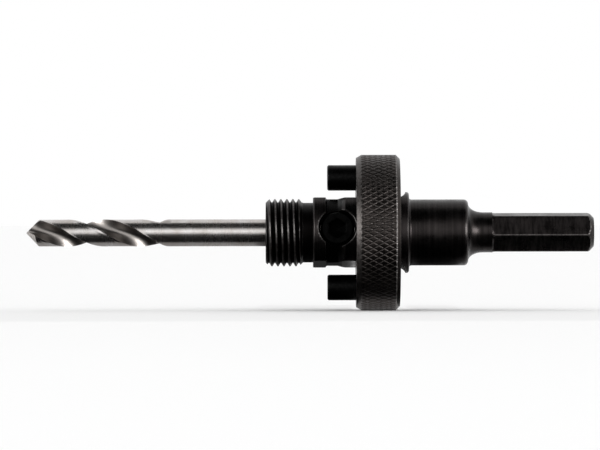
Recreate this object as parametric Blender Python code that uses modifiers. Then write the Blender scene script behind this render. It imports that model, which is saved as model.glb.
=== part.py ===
"""Hole saw arbor: a hex shanked body with a threaded nose, a pilot drill held by a
set screw, and a knurled drive collar with two pins that slides along two flats.

Metres, +Z up. The arbor's axis is X: the drill's tip points to -X, the hex shank to +X,
and the origin is the centre of the shank's end face. A station is a place along X.
"""

import math

import bmesh
import bpy
from mathutils import Matrix, Vector

# Whole arbor: the turn about its own axis at which it lies on the collar's rim
ROLL = math.radians(8.2)

# Hex shank and neck
HEX_ACROSS_FLATS = 0.0085
HEX_LENGTH = 0.0239
HEX_TURN = math.radians(13.3)
HEX_END_CHAMFER = 0.0014
HEX_END_FACE_RADIUS = 0.0034
NECK_RADIUS = 0.00472
NECK_LENGTH = 0.0056
NECK_FILLET = 0.0020

# Round shank behind the collar, and the rim that stops the collar
SHANK_RADIUS = 0.00775
SHANK_LENGTH = 0.0139
SHANK_CORNER = 0.0010
RIM_WIDTH = 0.0008
RIM_CHAMFER = 0.00035
RIM_ROOT_FILLET = 0.0004

# Barrel that the collar slides on: a round bar with two flats
BARREL_RADIUS = 0.0095
BARREL_LENGTH = 0.0217
BARREL_FLATS = 0.0150
FLAT_RUNOUT_RADIUS = 0.0020
SEAT_CHAMFER = 0.00035

# Groove round the barrel that the detent ball drops into
GROOVE_FROM_SEAT = 0.0029
GROOVE_DEPTH = 0.0015
GROOVE_WALL = 0.0003
GROOVE_FLOOR = 0.0026
GROOVE_RAMP = 0.0017

# Threaded nose, 5/8 inch with 18 threads to the inch
THREAD_DIAMETER = 0.015875
THREAD_PITCH = 0.0254 / 18
THREAD_LENGTH = 0.0087
THREAD_CHAMFER = 0.0009
THREAD_LEAD_IN = 0.00224
THREAD_DEPTH_SHARE = 0.6134
THREAD_CREST_SHARE = 0.125
RELIEF_WIDTH = 0.0024
RELIEF_UNDERCUT = 0.00007

# Pilot drill
DRILL_DIAMETER = 0.00635
DRILL_REACH = 0.0563
DRILL_BEHIND_SCREW = 0.0069
DRILL_END_CHAMFER = 0.0005
FLUTE_LENGTH = 0.0323
FLUTE_RUNOUT = 0.0060
HELIX_LEAD = 0.0343
FLUTE_TURN = math.radians(38.8)
LAND_ANGLE = math.radians(87)
POINT_ANGLE = math.radians(118)
LIP_RELIEF = math.radians(12)
RELIEF_AHEAD = math.radians(25)
RELIEF_RETURN = math.radians(30)
WEB_HALF = 0.0005

# Pilot drill's bore, and the cross hole with its set screw
BORE_CLEARANCE = 0.0001
BORE_END_GAP = 0.0006
BORE_CHAMFER = 0.0004
SCREW_FROM_SEAT = 0.0057
SCREW_DIAMETER = 0.0080
SCREW_LENGTH = 0.0048
SCREW_CHAMFER = 0.0006
SCREW_KEY = 0.0040
SCREW_KEY_DEPTH = 0.0024
SCREW_CLEARANCE = 0.0001
SCREW_SEAT_GAP = 0.0001
DRILL_FLAT_DEPTH = 0.0004
DRILL_FLAT_MARGIN = 0.0008
COUNTERBORE_DIAMETER = 0.0088
COUNTERBORE_DEPTH = 0.0019

# Drive collar
COLLAR_RADIUS = 0.01825
COLLAR_WIDTH = 0.01025
COLLAR_SLIDE_GAP = 0.00015
COLLAR_STOP_GAP = 0.0001
COLLAR_BORE_CHAMFER = 0.0004
COLLAR_FRONT_CHAMFER_LENGTH = 0.00125
COLLAR_FRONT_CHAMFER_DROP = 0.0007
COLLAR_REAR_CHAMFER_LENGTH = 0.0009
COLLAR_REAR_CHAMFER_DROP = 0.0009
KNURL_TEETH = 104
KNURL_ROWS = 9
KNURL_DEPTH = 0.0003
KNURL_SET_BACK = 0.000004

# Drive pins
PIN_DIAMETER = 0.0060
PIN_OUTSET = 0.00005
PIN_REACH = 0.00675
PIN_CHAMFER = 0.0003
PIN_CLEARANCE = 0.0001
PIN_REAR_SETBACK = 0.0003

# Detent in the collar: a ball, its spring and the plug that holds them in
BALL_DIAMETER = 0.003175
BALL_GAP = 0.0001
DETENT_CLEARANCE = 0.0001
SPRING_WIRE = 0.0004
SPRING_PITCH = 0.00047
SPRING_END_GAP = 0.0001
PLUG_DIAMETER = 0.0050
PLUG_SETBACK = 0.0006
PLUG_SHARE = 0.49
PLUG_KEY = 0.0020
PLUG_KEY_SHARE = 0.55

# Facets
BODY_SEGMENTS = 48
SMALL_SEGMENTS = 24
THREAD_SEGMENTS = 30
ARC_STEPS = 5
FLUTE_STEPS = 13
LAND_STEPS = 7
FLUTE_SECTIONS = 28
CUT_MARGIN = 0.001
WELD_DISTANCE = 0.000002

# Stations along the axis, worked out from the lengths above
HEX_FRONT = -HEX_LENGTH
SHANK_REAR = HEX_FRONT - NECK_LENGTH
RIM_REAR = SHANK_REAR - SHANK_LENGTH
RIM_FRONT = RIM_REAR - RIM_WIDTH
SEAT = RIM_FRONT - BARREL_LENGTH
THREAD_REAR = SEAT - RELIEF_WIDTH
NOSE = THREAD_REAR - THREAD_LENGTH
TIP = NOSE - DRILL_REACH
SCREW_STATION = SEAT + SCREW_FROM_SEAT
DRILL_REAR = SCREW_STATION + DRILL_BEHIND_SCREW

# Sizes that follow from others
HALF_FLATS = BARREL_FLATS / 2
THREAD_RADIUS = THREAD_DIAMETER / 2
ROOT_RADIUS = THREAD_RADIUS - THREAD_DEPTH_SHARE * THREAD_PITCH
RELIEF_RADIUS = ROOT_RADIUS - RELIEF_UNDERCUT
DRILL_RADIUS = DRILL_DIAMETER / 2
BORE_RADIUS = DRILL_RADIUS + BORE_CLEARANCE
DRILL_FLAT_HEIGHT = DRILL_RADIUS - DRILL_FLAT_DEPTH
SCREW_FOOT = DRILL_FLAT_HEIGHT + SCREW_SEAT_GAP
COLLAR_HALF_FLATS = HALF_FLATS + COLLAR_SLIDE_GAP
COLLAR_BORE_RADIUS = BARREL_RADIUS + COLLAR_SLIDE_GAP
PIN_CIRCLE_RADIUS = (COLLAR_HALF_FLATS + COLLAR_RADIUS) / 2 + PIN_OUTSET


def runout_contact():
    """Station at which the collar's inner flats would meet the curved ends of the barrel's."""
    rise = FLAT_RUNOUT_RADIUS - COLLAR_SLIDE_GAP
    return RIM_FRONT - FLAT_RUNOUT_RADIUS + math.sqrt(FLAT_RUNOUT_RADIUS ** 2 - rise ** 2)


COLLAR_REAR = runout_contact() - COLLAR_STOP_GAP
COLLAR_FRONT = COLLAR_REAR - COLLAR_WIDTH
DETENT_STATION = (COLLAR_FRONT + COLLAR_REAR) / 2
BALL_HEIGHT = BARREL_RADIUS + BALL_GAP + BALL_DIAMETER / 2
BALL_TOP = BALL_HEIGHT + BALL_DIAMETER / 2
PLUG_TOP = COLLAR_RADIUS - PLUG_SETBACK
PLUG_LENGTH = PLUG_SHARE * (PLUG_TOP - BALL_TOP)
PLUG_FOOT = PLUG_TOP - PLUG_LENGTH


def clear_scene():
    """Empties the scene of whatever it holds."""
    for obj in list(bpy.data.objects):
        bpy.data.objects.remove(obj, do_unlink=True)
    for collection in list(bpy.data.collections):
        bpy.data.collections.remove(collection)


def new_collection(name):
    collection = bpy.data.collections.new(name)
    bpy.context.scene.collection.children.link(collection)
    return collection


def steel(name, colour, roughness):
    """A metallic Principled material."""
    material = bpy.data.materials.new(name)
    material.use_nodes = True
    shader = material.node_tree.nodes["Principled BSDF"]
    shader.inputs["Base Color"].default_value = (*colour, 1.0)
    shader.inputs["Metallic"].default_value = 1.0
    shader.inputs["Roughness"].default_value = roughness
    return material


def add_object(name, mesh, collection, parent=None):
    obj = bpy.data.objects.new(name, mesh)
    collection.objects.link(obj)
    obj.parent = parent
    return obj


def along_axis(obj, station=0.0, height=0.0, turn=0.0):
    """Lays local +Z along the arbor's +X, turned about it, at a height over the axis."""
    laid = Matrix.Rotation(turn, 4, "X") @ Matrix.Rotation(math.pi / 2, 4, "Y")
    obj.matrix_local = Matrix.Translation((station, 0.0, height)) @ laid
    return obj


def out_of_side(obj, station, side):
    """Stands local +Z out of the axis: side -1 is towards -Y, side +1 towards +Y."""
    obj.location = (station, 0.0, 0.0)
    obj.rotation_euler = (-side * math.pi / 2, 0.0, 0.0)
    return obj


def turned(name, outline, segments, collection, parent=None):
    """A turned shape about local Z. The outline holds (radius, height) from the top down."""
    mesh = bpy.data.meshes.new(name)
    points = [(radius, 0.0, height) for radius, height in outline]
    mesh.from_pydata(points, [(i, i + 1) for i in range(len(points) - 1)], [])
    obj = add_object(name, mesh, collection, parent)
    screw = obj.modifiers.new("turn", "SCREW")
    screw.axis = "Z"
    screw.angle = 2 * math.pi
    screw.steps = segments
    screw.render_steps = segments
    screw.use_merge_vertices = True
    screw.merge_threshold = 0.00001
    return obj


def arc(centre_radius, centre_height, size, start, end, steps=ARC_STEPS):
    """Points of an arc in a profile. Angles are from the outward direction, towards the top."""
    angles = [start + (end - start) * i / steps for i in range(steps + 1)]
    return [(centre_radius + size * math.cos(a), centre_height + size * math.sin(a)) for a in angles]


def mesh_from_bmesh(name, bm):
    bmesh.ops.recalc_face_normals(bm, faces=bm.faces)
    mesh = bpy.data.meshes.new(name)
    bm.to_mesh(mesh)
    bm.free()
    return mesh


def lofted(name, rings, collection, parent=None, tip=None):
    """A closed solid through rings that all have the same number of points.

    A tip closes the first end with triangles that meet in one point, in place of a flat face.
    """
    bm = bmesh.new()
    rows = [[bm.verts.new(point) for point in ring] for ring in rings]
    for row, following in zip(rows, rows[1:]):
        for i in range(len(row)):
            k = (i + 1) % len(row)
            bm.faces.new((row[i], row[k], following[k], following[i]))
    if tip is None:
        bm.faces.new(rows[0])
    else:
        apex = bm.verts.new(tip)
        for i, vertex in enumerate(rows[0]):
            bm.faces.new((apex, vertex, rows[0][(i + 1) % len(rows[0])]))
    bm.faces.new(rows[-1])
    return add_object(name, mesh_from_bmesh(name, bm), collection, parent)


def hex_prism(name, across_flats, length, collection, parent=None):
    """A hexagonal bar on local Z, from its foot at 0, with a flat facing local -Y."""
    bm = bmesh.new()
    corner = across_flats / math.sqrt(3)
    bmesh.ops.create_cone(
        bm, cap_ends=True, segments=6, radius1=corner, radius2=corner, depth=length,
        matrix=Matrix.Translation((0.0, 0.0, length / 2)))
    flat = min((face for face in bm.faces if abs(face.normal.z) < 0.5), key=lambda f: f.normal.y)
    turn = -math.pi / 2 - math.atan2(flat.normal.y, flat.normal.x)
    bmesh.ops.rotate(bm, verts=bm.verts, cent=(0, 0, 0), matrix=Matrix.Rotation(turn, 3, "Z"))
    return add_object(name, mesh_from_bmesh(name, bm), collection, parent)


def combine(target, tool, operation):
    """Cuts, joins or trims a target with a tool, and puts the tool out of sight."""
    modifier = target.modifiers.new(tool.name, "BOOLEAN")
    modifier.operation = operation
    modifier.solver = "EXACT"
    modifier.object = tool
    tool.hide_render = True
    tool.display_type = "WIRE"


def finish(obj, material):
    """Gives a part its material, and joins points that its cuts left on top of each other."""
    weld = obj.modifiers.new("weld", "WELD")
    weld.merge_threshold = WELD_DISTANCE
    obj.data.materials.clear()
    obj.data.materials.append(material)
    return obj


def thread_tool(tools, axis):
    """An over-long threaded bar. Four helical lines bound its root, flanks and crest."""
    flank = THREAD_DEPTH_SHARE * THREAD_PITCH * math.tan(math.radians(30))
    crest = THREAD_CREST_SHARE * THREAD_PITCH
    root = THREAD_PITCH - crest - 2 * flank
    offsets = (0.0, root, root + flank, root + flank + crest)
    radii = (ROOT_RADIUS, ROOT_RADIUS, THREAD_RADIUS, THREAD_RADIUS)
    start = NOSE - THREAD_LEAD_IN
    turns = math.ceil((THREAD_REAR - start) / THREAD_PITCH) + 1

    bm = bmesh.new()
    lines = []
    for offset, radius in zip(offsets, radii):
        count = THREAD_SEGMENTS * (turns + (offset == 0.0)) + 1
        line = []
        for step in range(count):
            angle = 2 * math.pi * step / THREAD_SEGMENTS
            height = start + offset + THREAD_PITCH * step / THREAD_SEGMENTS
            point = (radius * math.cos(angle), radius * math.sin(angle), height)
            line.append(bm.verts.new(point))
        lines.append(line)

    last = THREAD_SEGMENTS * turns
    for step in range(last):
        for lower, upper in zip(lines, lines[1:]):
            bm.faces.new((lower[step], lower[step + 1], upper[step + 1], upper[step]))
        lower, upper = lines[-1], lines[0]
        turn_on = step + THREAD_SEGMENTS
        bm.faces.new((lower[step], lower[step + 1], upper[turn_on + 1], upper[turn_on]))

    for first, height in ((0, start), (last, THREAD_REAR + 2 * THREAD_PITCH)):
        centre = bm.verts.new((0.0, 0.0, height))
        loop = lines[0][first:first + THREAD_SEGMENTS + 1]
        loop += [line[first] for line in reversed(lines[1:])]
        for i, vertex in enumerate(loop):
            bm.faces.new((centre, vertex, loop[(i + 1) % len(loop)]))

    bar = add_object("thread_bar", mesh_from_bmesh("thread_bar", bm), tools, axis)
    blank = turned("thread_blank", [
        (0.0, THREAD_REAR),
        (THREAD_RADIUS - THREAD_CHAMFER, THREAD_REAR),
        (THREAD_RADIUS + CUT_MARGIN, THREAD_REAR - THREAD_CHAMFER - CUT_MARGIN),
        (THREAD_RADIUS + CUT_MARGIN, NOSE + THREAD_CHAMFER + CUT_MARGIN),
        (THREAD_RADIUS - THREAD_CHAMFER, NOSE),
        (0.0, NOSE),
    ], BODY_SEGMENTS, tools, axis)
    along_axis(blank)
    combine(bar, blank, "INTERSECT")
    return along_axis(bar)


def hex_tool(tools, axis):
    """The hex shank with its chamfered end. It starts a little way inside the neck."""
    overlap = CUT_MARGIN / 4
    corner = HEX_ACROSS_FLATS / math.sqrt(3)
    bar = hex_prism("hex_bar", HEX_ACROSS_FLATS, HEX_LENGTH + overlap, tools, axis)
    along_axis(bar, station=HEX_FRONT - overlap, turn=-HEX_TURN)
    slope = (corner - HEX_END_FACE_RADIUS) / HEX_END_CHAMFER
    envelope = turned("hex_envelope", [
        (0.0, 0.0),
        (HEX_END_FACE_RADIUS, 0.0),
        (corner, -HEX_END_CHAMFER),
        (corner + CUT_MARGIN, -HEX_END_CHAMFER - CUT_MARGIN / slope),
        (corner + CUT_MARGIN, HEX_FRONT - 2 * overlap),
        (0.0, HEX_FRONT - 2 * overlap),
    ], BODY_SEGMENTS, tools, axis)
    along_axis(envelope)
    combine(bar, envelope, "INTERSECT")
    return bar


def flat_tool(tools, axis, side):
    """The cutter of one flat of the barrel. Its rear end is rounded, as a milled flat runs out."""
    top = BARREL_RADIUS + CUT_MARGIN
    curve_centre = (RIM_FRONT - FLAT_RUNOUT_RADIUS, HALF_FLATS + FLAT_RUNOUT_RADIUS)
    outline = [(SEAT - RELIEF_WIDTH / 2, top), (SEAT - RELIEF_WIDTH / 2, HALF_FLATS)]
    steps = 2 * ARC_STEPS
    for i in range(steps + 1):
        angle = -math.pi / 2 + math.pi / 2 * i / steps
        station = curve_centre[0] + FLAT_RUNOUT_RADIUS * math.cos(angle)
        height = curve_centre[1] + FLAT_RUNOUT_RADIUS * math.sin(angle)
        outline.append((station, min(height, top)))
    if outline[-1][1] < top:
        outline.append((RIM_FRONT, top))
    rings = [[(x, y, side * z) for x, z in outline] for y in (-top, top)]
    return lofted(f"flat_cutter_{side}", rings, tools, axis)


def bore_tool(tools, axis):
    """The cutter of the pilot drill's bore, with a drilled cone at its inner end."""
    inner = DRILL_REAR + BORE_END_GAP
    cone = BORE_RADIUS / math.tan(POINT_ANGLE / 2)
    mouth = BORE_RADIUS + BORE_CHAMFER
    cutter = turned("bore_cutter", [
        (0.0, inner + cone),
        (BORE_RADIUS, inner),
        (BORE_RADIUS, NOSE + BORE_CHAMFER),
        (mouth, NOSE),
        (mouth + CUT_MARGIN, NOSE - CUT_MARGIN),
        (0.0, NOSE - CUT_MARGIN),
    ], SMALL_SEGMENTS, tools, axis)
    return along_axis(cutter)


def cross_hole_tool(tools, axis):
    """The cutter of the set screw's hole, with the wider counterbore at its mouth."""
    radius = SCREW_DIAMETER / 2 + SCREW_CLEARANCE
    wide = COUNTERBORE_DIAMETER / 2
    shelf = BARREL_RADIUS - COUNTERBORE_DEPTH
    cutter = turned("cross_hole_cutter", [
        (0.0, BARREL_RADIUS + CUT_MARGIN),
        (wide, BARREL_RADIUS + CUT_MARGIN),
        (wide, shelf),
        (radius, shelf - (wide - radius)),
        (radius, 0.0),
        (0.0, 0.0),
    ], SMALL_SEGMENTS, tools, axis)
    return out_of_side(cutter, SCREW_STATION, -1)


def make_arbor_body(parts, tools, axis, material):
    """The turned and milled body, one piece from the threaded nose to the hex shank."""
    groove_radius = BARREL_RADIUS - GROOVE_DEPTH
    groove_front = SEAT + GROOVE_FROM_SEAT
    floor_front = groove_front + GROOVE_WALL
    floor_rear = floor_front + GROOVE_FLOOR
    groove_rear = floor_rear + GROOVE_RAMP
    core = HEX_ACROSS_FLATS / 2 - CUT_MARGIN / 4

    neck = [
        (0.0, HEX_FRONT + CUT_MARGIN),
        (core, HEX_FRONT + CUT_MARGIN),
        (core, HEX_FRONT),
        (NECK_RADIUS, HEX_FRONT),
    ]
    fillet = arc(NECK_RADIUS + NECK_FILLET, SHANK_REAR + NECK_FILLET, NECK_FILLET,
                 math.pi, 1.5 * math.pi)
    corner = arc(SHANK_RADIUS - SHANK_CORNER, SHANK_REAR - SHANK_CORNER, SHANK_CORNER,
                 math.pi / 2, 0.0)
    root = arc(SHANK_RADIUS + RIM_ROOT_FILLET, RIM_REAR + RIM_ROOT_FILLET, RIM_ROOT_FILLET,
               math.pi, 1.5 * math.pi, 3)
    barrel = [
        (BARREL_RADIUS - RIM_CHAMFER, RIM_REAR),
        (BARREL_RADIUS, RIM_REAR - RIM_CHAMFER),
        (BARREL_RADIUS, groove_rear),
        (groove_radius, floor_rear),
        (groove_radius, floor_front),
        (BARREL_RADIUS, groove_front),
        (BARREL_RADIUS, SEAT + SEAT_CHAMFER),
        (BARREL_RADIUS - SEAT_CHAMFER, SEAT),
        (RELIEF_RADIUS, SEAT),
        (RELIEF_RADIUS, THREAD_REAR - THREAD_PITCH),
        (0.0, THREAD_REAR - THREAD_PITCH),
    ]
    body = turned("arbor_body", neck + fillet + corner + root + barrel, BODY_SEGMENTS, parts, axis)
    along_axis(body)
    combine(body, thread_tool(tools, axis), "UNION")
    combine(body, hex_tool(tools, axis), "UNION")
    for side in (-1, 1):
        combine(body, flat_tool(tools, axis, side), "DIFFERENCE")
    combine(body, bore_tool(tools, axis), "DIFFERENCE")
    combine(body, cross_hole_tool(tools, axis), "DIFFERENCE")
    return finish(body, material)


def flute_outline():
    """One flute in cross section, from its heel to its lip, about a centre line at angle 0.

    The lip side runs straight in beside the web, and the heel side is rounded: a cubic curve
    between the two corners, pulled towards the drill's axis.
    """
    half = (math.pi - LAND_ANGLE) / 2
    heel = Vector((math.cos(-half), math.sin(-half))) * DRILL_RADIUS
    lip = Vector((math.cos(half), math.sin(half))) * DRILL_RADIUS
    along = lip.normalized()
    across = Vector((along.y, -along.x))
    lip_pull = along * (-0.19 * DRILL_RADIUS) + across * (0.9 * WEB_HALF)
    heel_pull = along * (-0.06 * DRILL_RADIUS) - across * (0.2 * WEB_HALF)
    points = []
    for i in range(FLUTE_STEPS + 1):
        t = i / FLUTE_STEPS
        s = 1 - t
        points.append(heel * s ** 3 + heel_pull * (3 * s * s * t) + lip_pull * (3 * s * t * t)
                      + lip * t ** 3)
    return points


def drill_section():
    """Both flutes and both lands once round, as (radius, angle, angle once the flute has run out)."""
    half = (math.pi - LAND_ANGLE) / 2
    flute = flute_outline()
    section = []
    for base in (0.0, math.pi):
        for i, point in enumerate(flute):
            even = half * (2 * i / FLUTE_STEPS - 1)
            section.append((point.length, base + math.atan2(point.y, point.x), base + even))
        for i in range(1, LAND_STEPS):
            angle = base + half + LAND_ANGLE * i / LAND_STEPS
            section.append((DRILL_RADIUS, angle, angle))
    return section


def flute_depth(station):
    """Share of the full flute depth: 1 along the flutes, falling smoothly to 0 at their end."""
    left = (TIP + FLUTE_LENGTH - station) / FLUTE_RUNOUT
    t = min(max(left, 0.0), 1.0)
    return t * t * (3 - 2 * t)


def helix_turn(station):
    """Turn of the drill's section at one station."""
    return 2 * math.pi * (station - TIP) / HELIX_LEAD + FLUTE_TURN


def flank_slope(past_lip):
    """Distance behind the tip for each metre of radius, at an angle past a lip's corner.

    It is the cone of the point angle, which falls away behind the lip by the relief angle
    and comes back up in the open flute, ahead of the next lip.
    """
    angle = (past_lip + RELIEF_AHEAD) % math.pi
    falling = math.pi - RELIEF_RETURN
    if angle > falling:
        angle = falling * (math.pi - angle) / RELIEF_RETURN
    return 1 / math.tan(POINT_ANGLE / 2) + angle * math.tan(LIP_RELIEF)


def point_tool(tools, axis):
    """An over-wide round bar whose front end has the drill's point: two relieved flanks."""
    wide = DRILL_RADIUS + CUT_MARGIN
    corner_station = TIP + DRILL_RADIUS * flank_slope(0.0)
    corner = (math.pi - LAND_ANGLE) / 2 + helix_turn(corner_station)
    front = []
    rear = []
    for i in range(BODY_SEGMENTS):
        past_lip = 2 * math.pi * i / BODY_SEGMENTS - RELIEF_AHEAD
        x = wide * math.cos(corner + past_lip)
        y = wide * math.sin(corner + past_lip)
        front.append((x, y, TIP + wide * flank_slope(past_lip)))
        rear.append((x, y, DRILL_REAR + CUT_MARGIN))
    bar = lofted("drill_point_blank", (front, rear), tools, axis, tip=(0.0, 0.0, TIP))
    return along_axis(bar)


def make_pilot_drill(parts, tools, axis, material):
    """The twist drill: a two-flute section carried along a right-hand helix, pointed by its
    two relieved flanks, with a flat for the set screw."""
    section = drill_section()
    first = TIP - CUT_MARGIN
    last = TIP + FLUTE_LENGTH
    rings = []
    for i in range(FLUTE_SECTIONS + 1):
        station = first + (last - first) * i / FLUTE_SECTIONS
        depth = flute_depth(station)
        ring = []
        for radius, angle, even in section:
            reach = DRILL_RADIUS + (radius - DRILL_RADIUS) * depth
            turn = even + (angle - even) * depth + helix_turn(station)
            ring.append((reach * math.cos(turn), reach * math.sin(turn), station))
        rings.append(ring)
    for share, station in ((1.0, DRILL_REAR - DRILL_END_CHAMFER),
                           (1 - DRILL_END_CHAMFER / DRILL_RADIUS, DRILL_REAR)):
        rings.append([(x * share, y * share, station) for x, y, height in rings[FLUTE_SECTIONS]])

    drill = lofted("pilot_drill", rings, parts, axis)
    along_axis(drill)
    combine(drill, point_tool(tools, axis), "INTERSECT")
    half = SCREW_DIAMETER / 2 + DRILL_FLAT_MARGIN
    low, high = DRILL_FLAT_HEIGHT, DRILL_RADIUS + CUT_MARGIN
    corners = ((-half, -high), (half, -high), (half, high), (-half, high))
    rings = [[(x, y, z) for x, y in corners] for z in (low, high)]
    combine(drill, out_of_side(lofted("drill_flat_cutter", rings, tools, axis), SCREW_STATION, -1),
            "DIFFERENCE")
    return finish(drill, material)


def socket_screw(name, sizes, parts, tools, axis, side, station, material):
    """A headless screw with a hex socket in its outer end.

    The sizes are its diameter, the heights of its foot and top over the arbor's axis, the
    chamfer, and the socket's width across flats and depth.
    """
    diameter, foot, top, chamfer, key, key_depth = sizes
    radius = diameter / 2
    screw = turned(name, [
        (0.0, top),
        (radius - chamfer, top),
        (radius, top - chamfer),
        (radius, foot + chamfer),
        (radius - chamfer, foot),
        (0.0, foot),
    ], SMALL_SEGMENTS, parts, axis)
    out_of_side(screw, station, side)
    socket = hex_prism(f"{name}_socket", key, key_depth + CUT_MARGIN, tools, axis)
    out_of_side(socket, station, side)
    socket.location.y = side * (top - key_depth)
    combine(screw, socket, "DIFFERENCE")
    return finish(screw, material)


def double_d(half_flats, radius, station):
    """Outline of a round bar with two flats, in the plane of one station."""
    edge = math.asin(min(half_flats / radius, 0.999))
    steps = 4 * ARC_STEPS
    points = []
    for centre in (0.0, math.pi):
        for i in range(steps + 1):
            angle = centre - edge + 2 * edge * i / steps
            points.append((station, radius * math.cos(angle), radius * math.sin(angle)))
    return points


def collar_bore_tool(tools, axis):
    """The cutter of the collar's bore: the barrel's shape, opened out at the front edge."""
    rings = []
    for station, growth in (
            (COLLAR_FRONT - CUT_MARGIN, COLLAR_BORE_CHAMFER + CUT_MARGIN),
            (COLLAR_FRONT + COLLAR_BORE_CHAMFER, 0.0),
            (COLLAR_REAR + CUT_MARGIN, 0.0)):
        rings.append(double_d(COLLAR_HALF_FLATS + growth, COLLAR_BORE_RADIUS + growth, station))
    return lofted("collar_bore_cutter", rings, tools, axis)


def detent_hole_tool(tools, axis):
    """The cutter of the stepped hole for the detent: ball and spring below, plug above."""
    narrow = BALL_DIAMETER / 2 + DETENT_CLEARANCE
    wide = PLUG_DIAMETER / 2 + DETENT_CLEARANCE
    cutter = turned("detent_hole_cutter", [
        (0.0, COLLAR_RADIUS + CUT_MARGIN),
        (wide, COLLAR_RADIUS + CUT_MARGIN),
        (wide, PLUG_FOOT - DETENT_CLEARANCE),
        (narrow, PLUG_FOOT - DETENT_CLEARANCE),
        (narrow, BARREL_RADIUS - CUT_MARGIN),
        (0.0, BARREL_RADIUS - CUT_MARGIN),
    ], SMALL_SEGMENTS, tools, axis)
    return out_of_side(cutter, DETENT_STATION, 1)


def pin_hole_tool(tools, axis, side):
    radius = PIN_DIAMETER / 2 + PIN_CLEARANCE
    cutter = turned(f"pin_hole_cutter_{side}", [
        (0.0, COLLAR_REAR + CUT_MARGIN),
        (radius, COLLAR_REAR + CUT_MARGIN),
        (radius, COLLAR_FRONT - CUT_MARGIN),
        (0.0, COLLAR_FRONT - CUT_MARGIN),
    ], SMALL_SEGMENTS, tools, axis)
    return along_axis(cutter, height=side * PIN_CIRCLE_RADIUS)


def make_drive_collar(parts, tools, axis, material):
    """The drive collar, with a diamond knurl between the chamfers of its rim.

    In each ring of the knurl, the tips of the diamonds and the crossings of the two sets of
    grooves take turns, and they change places from one ring to the next. Each cell between
    four of them is folded along the groove that joins its two crossings. The tips of every
    second ring are set back behind the flats that span the others' tips, and one of those
    flats faces straight down, so the arbor lies on it without rocking.
    """
    front = COLLAR_FRONT + COLLAR_FRONT_CHAMFER_LENGTH
    rear = COLLAR_REAR - COLLAR_REAR_CHAMFER_LENGTH
    first_tip = ROLL - math.pi / 2 + math.pi / KNURL_TEETH
    tip_radii = (COLLAR_RADIUS, COLLAR_RADIUS * math.cos(math.pi / KNURL_TEETH) - KNURL_SET_BACK)
    bm = bmesh.new()

    def ring(station, tips, crossings, shift):
        points = []
        for i in range(2 * KNURL_TEETH):
            angle = first_tip + math.pi * i / KNURL_TEETH
            radius = tips if (i + shift) % 2 == 0 else crossings
            points.append(bm.verts.new((station, radius * math.cos(angle), radius * math.sin(angle))))
        return points

    edge = COLLAR_RADIUS - COLLAR_FRONT_CHAMFER_DROP
    rows = [ring(COLLAR_FRONT, edge, edge, 0)]
    for k in range(KNURL_ROWS + 1):
        station = front + (rear - front) * k / KNURL_ROWS
        rows.append(ring(station, tip_radii[k % 2], COLLAR_RADIUS - KNURL_DEPTH, k))
    edge = COLLAR_RADIUS - COLLAR_REAR_CHAMFER_DROP
    rows.append(ring(COLLAR_REAR, edge, edge, 0))

    for k, (row, following) in enumerate(zip(rows, rows[1:])):
        for i in range(len(row)):
            j = (i + 1) % len(row)
            if (i + k) % 2 == 0:
                bm.faces.new((row[i], row[j], following[i]))
                bm.faces.new((row[j], following[j], following[i]))
            else:
                bm.faces.new((row[i], row[j], following[j]))
                bm.faces.new((row[i], following[j], following[i]))
    bm.faces.new(rows[0])
    bm.faces.new(rows[-1])

    collar = add_object("drive_collar", mesh_from_bmesh("drive_collar", bm), parts, axis)
    combine(collar, collar_bore_tool(tools, axis), "DIFFERENCE")
    for side in (-1, 1):
        combine(collar, pin_hole_tool(tools, axis, side), "DIFFERENCE")
    combine(collar, detent_hole_tool(tools, axis), "DIFFERENCE")
    return finish(collar, material)


def make_drive_pin(name, parts, axis, side, material):
    """One drive pin, let into the collar and standing out of its front face."""
    radius = PIN_DIAMETER / 2
    front = COLLAR_FRONT - PIN_REACH
    rear = COLLAR_REAR - PIN_REAR_SETBACK
    pin = turned(name, [
        (0.0, rear),
        (radius - PIN_CHAMFER, rear),
        (radius, rear - PIN_CHAMFER),
        (radius, front + PIN_CHAMFER),
        (radius - PIN_CHAMFER, front),
        (0.0, front),
    ], SMALL_SEGMENTS, parts, axis)
    return finish(along_axis(pin, height=side * PIN_CIRCLE_RADIUS), material)


def make_detent_ball(parts, axis, material):
    bm = bmesh.new()
    bmesh.ops.create_uvsphere(bm, u_segments=14, v_segments=8, radius=BALL_DIAMETER / 2)
    ball = add_object("detent_ball", mesh_from_bmesh("detent_ball", bm), parts, axis)
    ball.location = (DETENT_STATION, BALL_HEIGHT, 0.0)
    return finish(ball, material)


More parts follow.
